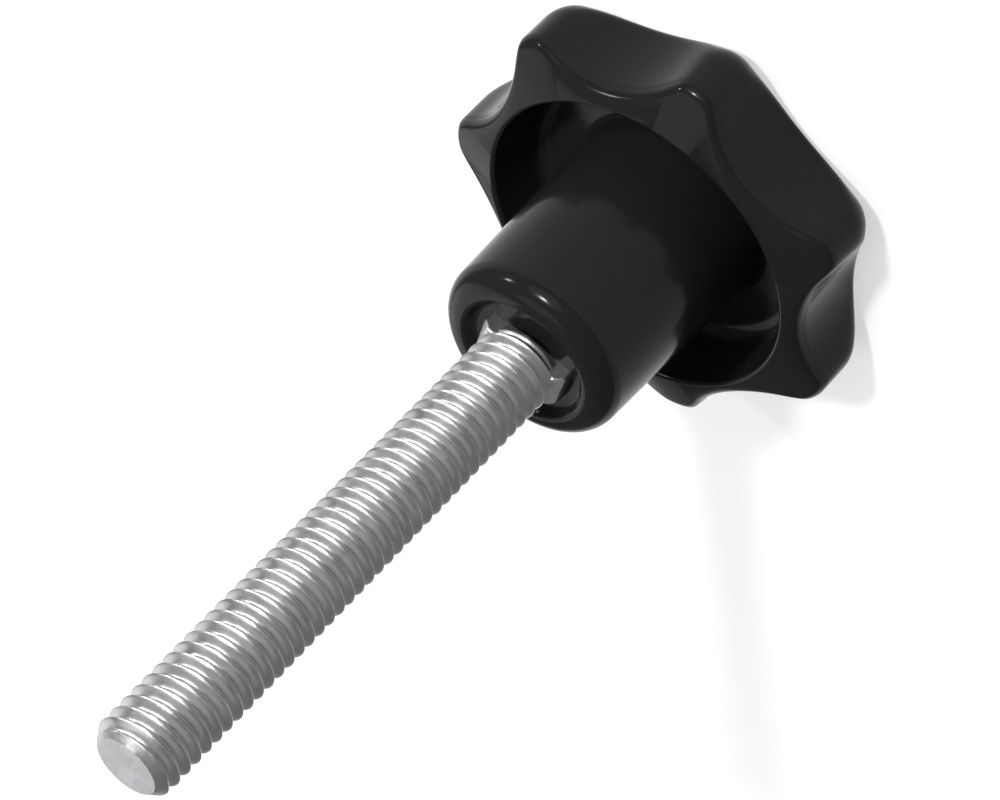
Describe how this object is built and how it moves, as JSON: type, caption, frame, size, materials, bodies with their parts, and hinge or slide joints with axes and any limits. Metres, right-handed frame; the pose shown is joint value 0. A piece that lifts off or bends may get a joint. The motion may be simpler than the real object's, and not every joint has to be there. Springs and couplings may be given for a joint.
{
  "type": "star knob",
  "caption": "Lobed clamping knob of glossy black moulded plastic with a hollow underside, a tapered hub and a long moulded-in M6 threaded stud.",
  "frame": {"origin": "middle of the flat top of the head, on which the knob stands", "axes": "+Z along the stud, from the head to the stud's tip; +X through the middle of one lobe"},
  "size_m": [0.0307, 0.0314, 0.06],
  "materials": {
    "moulded_black": "gloss moulded, black",
    "zinc_plated_steel": "bright zinc plate over rolled thread"
  },
  "bodies": {
    "root": {"knob_body": "moulded_black", "threaded_stud": "zinc_plated_steel"}
  },
  "joints": []
}
